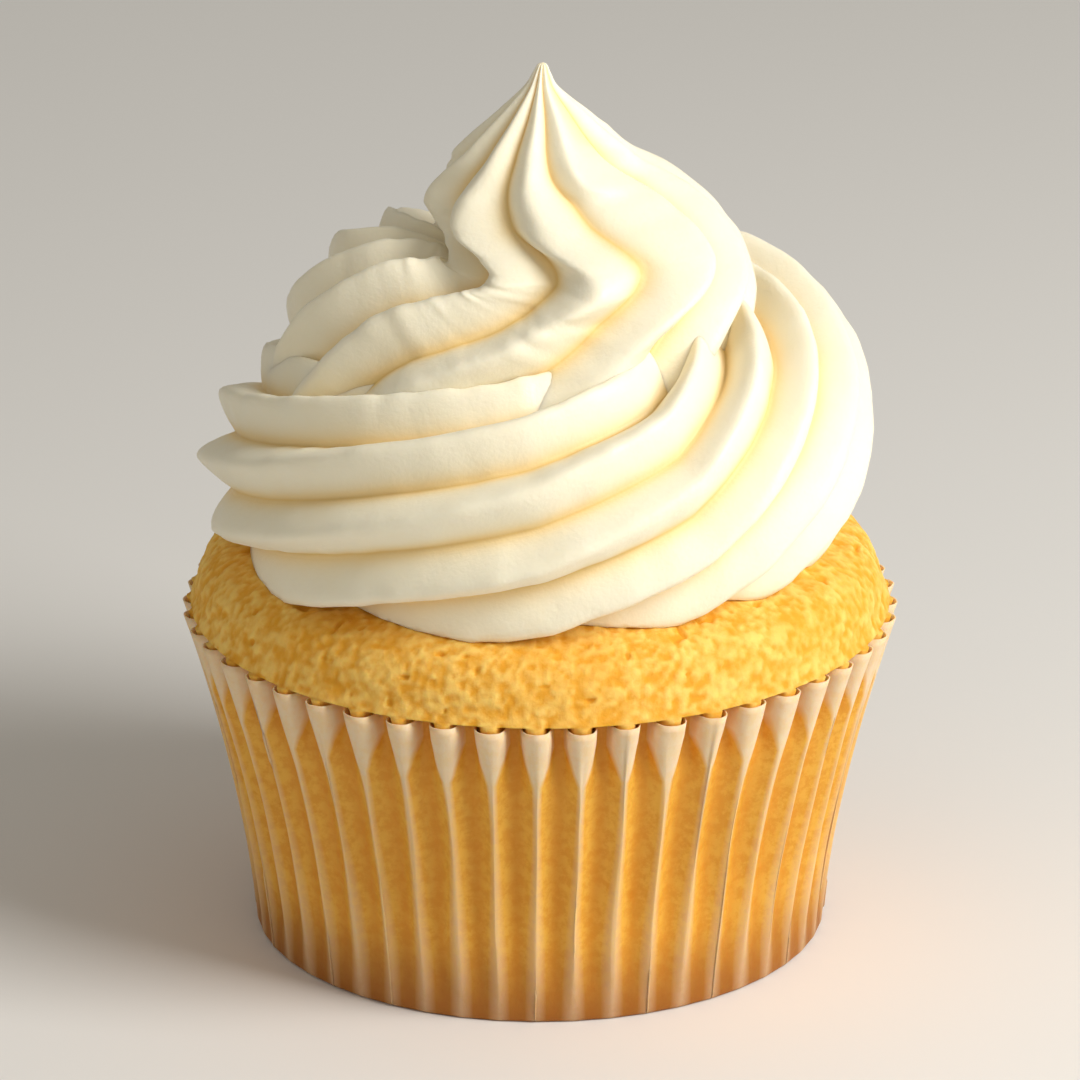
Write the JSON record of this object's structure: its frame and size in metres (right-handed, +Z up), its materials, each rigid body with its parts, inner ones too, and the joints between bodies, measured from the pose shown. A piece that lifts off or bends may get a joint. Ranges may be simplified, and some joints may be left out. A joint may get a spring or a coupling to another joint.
{
  "type": "frosted cupcake",
  "caption": "Sponge cupcake in a fluted paper baking cup, topped with a spiral of star-piped buttercream that rises in two turns to a pointed peak.",
  "frame": {"origin": "centre of the paper cup's flat underside", "axes": "+Z up, from the base to the frosting's peak; the front is -Y and +X is to the right of it"},
  "size_m": [0.0644, 0.0644, 0.0813],
  "materials": {
    "paper": "matte",
    "sponge": "matte",
    "buttercream": "satin"
  },
  "bodies": {
    "paper_cup": {"paper_cup": "paper"},
    "cake": {"sponge_cake": "sponge", "frosting_lower_turn": "buttercream", "frosting_upper_turn": "buttercream", "frosting_peak": "buttercream"}
  },
  "joints": [
    {"name": "cake_lift", "type": "slide", "parent": "paper_cup", "child": "cake", "axis": [0, 0, 1], "range_m": [0, 0.04]}
  ]
}
